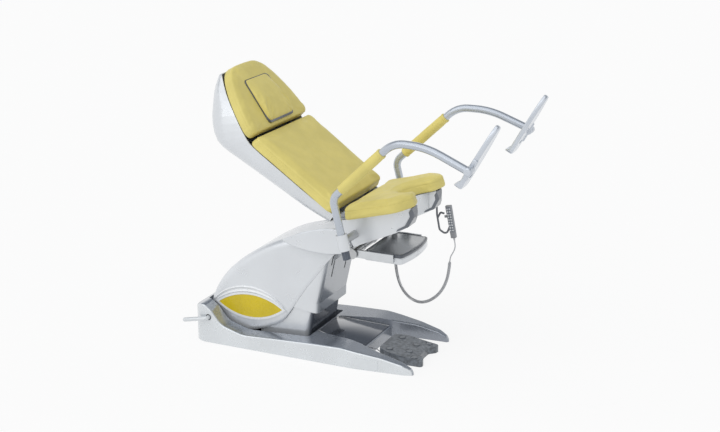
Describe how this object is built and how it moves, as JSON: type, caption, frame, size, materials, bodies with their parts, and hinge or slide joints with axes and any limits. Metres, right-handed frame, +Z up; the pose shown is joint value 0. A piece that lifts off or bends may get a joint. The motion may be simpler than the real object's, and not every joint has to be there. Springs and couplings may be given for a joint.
{
  "type": "gynecological examination chair",
  "caption": "Examination chair on a parallel lift arm, with tilting seat, reclining back, head pad, swivelling leg supports with foot plates, sliding tray and foot control.",
  "frame": {"origin": "on the floor under the seat's rear edge, in the chair's middle plane, on the floor plate's underside", "axes": "+X towards the foot end, +Y towards the sitter's left, +Z up"},
  "size_m": [1.7079, 0.9086, 1.423],
  "materials": {
    "silver_lacquer": "silver metallic lacquer, satin gloss",
    "tube_lacquer": "silver powder coat, semi gloss",
    "foot_rest_shell": "silver-grey lacquered plastic",
    "pale_cover": "pale silver plastic",
    "steel": "zinc plated",
    "motor_casing": "black, matt",
    "rail_aluminium": "anodised, satin",
    "upholstery": "pale yellow leatherette, fine grain",
    "lens": "strong yellow, gloss",
    "stainless": "polished stainless steel",
    "dark_trim": "dark grey, matt",
    "control_plastic": "dark grey, fine texture",
    "handset_plastic": "mid grey, matt",
    "keypad_membrane": "light grey membrane",
    "cord_jacket": "grey, satin"
  },
  "bodies": {
    "base": {"floor_plate": "steel", "base_cover": "silver_lacquer", "levelling_screws": "steel", "side_flaps": "pale_cover", "pivot_brackets": "steel", "arm_pivot_shaft": "steel", "lift_motor": "motor_casing", "control_box": "motor_casing", "column_housing": "silver_lacquer", "foot_control_housing": "control_plastic", "foot_cable": "cord_jacket"},
    "transport_lever": {"transport_lever": "tube_lacquer"},
    "lift_arm": {"arm_cover": "silver_lacquer", "arm_frame": "steel", "arm_top_shaft": "steel", "lens_panels": "lens", "lens_frames": "pale_cover"},
    "lift_rod": {"lift_rod": "steel"},
    "front_shield": {"front_shield": "silver_lacquer"},
    "parallel_link": {"parallel_link": "steel"},
    "carriage": {"carriage_frame": "steel", "carriage_cover_left": "silver_lacquer", "carriage_cover_right": "silver_lacquer", "tray_rails": "rail_aluminium"},
    "tray": {"tray_frame": "pale_cover", "tray_basin": "stainless"},
    "seat": {"seat_frame": "steel", "seat_shell": "silver_lacquer", "seat_pad": "upholstery", "seat_edge_trim": "dark_trim", "back_hinge_pin": "steel", "leg_clamp_left": "silver_lacquer", "leg_clamp_right": "silver_lacquer", "handset_bracket": "handset_plastic", "handset_body": "handset_plastic", "handset_keypad": "keypad_membrane", "cord_boot": "dark_trim", "straight_cord": "cord_jacket", "coiled_cord": "cord_jacket", "cord_socket": "dark_trim"},
    "back": {"back_frame": "steel", "back_shell": "silver_lacquer", "back_pad": "upholstery", "head_pad": "upholstery"},
    "pillow": {"head_pillow": "upholstery"},
    "leg_left": {"leg_tube_left": "tube_lacquer", "knee_sleeve_left": "upholstery"},
    "leg_right": {"leg_tube_right": "tube_lacquer", "knee_sleeve_right": "upholstery"},
    "foot_rest_left": {"foot_plate_left": "foot_rest_shell"},
    "foot_rest_right": {"foot_plate_right": "foot_rest_shell"},
    "knob_left": {"clamp_knob_left": "dark_trim"},
    "knob_right": {"clamp_knob_right": "dark_trim"},
    "button_1": {"foot_button_1": "control_plastic"},
    "button_2": {"foot_button_2": "control_plastic"},
    "button_3": {"foot_button_3": "control_plastic"},
    "button_4": {"foot_button_4": "control_plastic"},
    "button_5": {"foot_button_5": "control_plastic"},
    "button_6": {"foot_button_6": "control_plastic"}
  },
  "joints": [
    {"name": "lift", "type": "hinge", "parent": "base", "child": "lift_arm", "pos_m": [-0.62, 0, 0.12], "axis": [0, 1, 0], "range_deg": [-4, 18], "deforming": ["coiled_cord"]},
    {"name": "carriage_level", "type": "hinge", "parent": "lift_arm", "child": "carriage", "pos_m": [-0.02, 0, 0.61], "axis": [0, 1, 0], "range_deg": [-18, 4]},
    {"name": "link_swing", "type": "hinge", "parent": "base", "child": "parallel_link", "pos_m": [-0.62, 0, 0.065], "axis": [0, 1, 0], "range_deg": [-4, 18]},
    {"name": "shield_slide", "type": "slide", "parent": "lift_arm", "child": "front_shield", "axis": [0.19, 0, 0.9818], "range_m": [-0.0115, 0.0505]},
    {"name": "rod_stroke", "type": "slide", "parent": "base", "child": "lift_rod", "axis": [-0.5123, 0, 0.8588], "range_m": [-0.088, 0.0198]},
    {"name": "tray_slide", "type": "slide", "parent": "carriage", "child": "tray", "axis": [1, 0, 0], "range_m": [-0.03, 0.15]},
    {"name": "seat_tilt", "type": "hinge", "parent": "carriage", "child": "seat", "pos_m": [-0.02, 0, 0.61], "axis": [0, 1, 0], "range_deg": [0, 12]},
    {"name": "back_recline", "type": "hinge", "parent": "seat", "child": "back", "pos_m": [0.014, 0, 0.79], "axis": [0, 1, 0], "range_deg": [-18, 20]},
    {"name": "pillow_slide", "type": "slide", "parent": "back", "child": "pillow", "axis": [-0.6018, 0, 0.7986], "range_m": [-0.04, 0.04]},
    {"name": "leg_swivel_left", "type": "hinge", "parent": "seat", "child": "leg_left", "pos_m": [0.079, 0.375, 0.702], "axis": [-0.2461, 0, 0.9693], "range_deg": [-10, 40]},
    {"name": "leg_swivel_right", "type": "hinge", "parent": "seat", "child": "leg_right", "pos_m": [0.079, -0.375, 0.702], "axis": [-0.2461, 0, 0.9693], "range_deg": [-40, 10]},
    {"name": "foot_rest_tilt_left", "type": "hinge", "parent": "leg_left", "child": "foot_rest_left", "pos_m": [0.728, 0.43529, 1.1167], "axis": [0, 1, 0], "range_deg": [-20, 25]},
    {"name": "foot_rest_tilt_right", "type": "hinge", "parent": "leg_right", "child": "foot_rest_right", "pos_m": [0.728, -0.43529, 1.1167], "axis": [0, 1, 0], "range_deg": [-20, 25]},
    {"name": "knob_turn_left", "type": "hinge", "parent": "seat", "child": "knob_left", "pos_m": [0.079, 0.375, 0.702], "axis": [-0.2461, 0, 0.9693], "range_deg": [0, 180]},
    {"name": "knob_turn_right", "type": "hinge", "parent": "seat", "child": "knob_right", "pos_m": [0.079, -0.375, 0.702], "axis": [-0.2461, 0, 0.9693], "range_deg": [0, 180]},
    {"name": "transport_lever_turn", "type": "hinge", "parent": "base", "child": "transport_lever", "pos_m": [-0.722, -0.3, 0.14], "axis": [0, 1, 0], "range_deg": [-20, 15]},
    {"name": "button_1_press", "type": "slide", "parent": "base", "child": "button_1", "axis": [0, 0, -1], "range_m": [0, 0.003], "stiffness_N_per_m": 900},
    {"name": "button_2_press", "type": "slide", "parent": "base", "child": "button_2", "axis": [0, 0, -1], "range_m": [0, 0.003], "stiffness_N_per_m": 900},
    {"name": "button_3_press", "type": "slide", "parent": "base", "child": "button_3", "axis": [0, 0, -1], "range_m": [0, 0.003], "stiffness_N_per_m": 900},
    {"name": "button_4_press", "type": "slide", "parent": "base", "child": "button_4", "axis": [0, 0, -1], "range_m": [0, 0.003], "stiffness_N_per_m": 900},
    {"name": "button_5_press", "type": "slide", "parent": "base", "child": "button_5", "axis": [0, 0, -1], "range_m": [0, 0.003], "stiffness_N_per_m": 900},
    {"name": "button_6_press", "type": "slide", "parent": "base", "child": "button_6", "axis": [0, 0, -1], "range_m": [0, 0.003], "stiffness_N_per_m": 900}
  ],
  "couplings": [
    {"joint": "carriage_level", "follows": "lift", "ratio": -1},
    {"joint": "link_swing", "follows": "lift", "ratio": 1},
    {"joint": "shield_slide", "follows": "lift", "m_per_rad": 0.16},
    {"joint": "rod_stroke", "follows": "lift", "m_per_rad": -0.278}
  ]
}
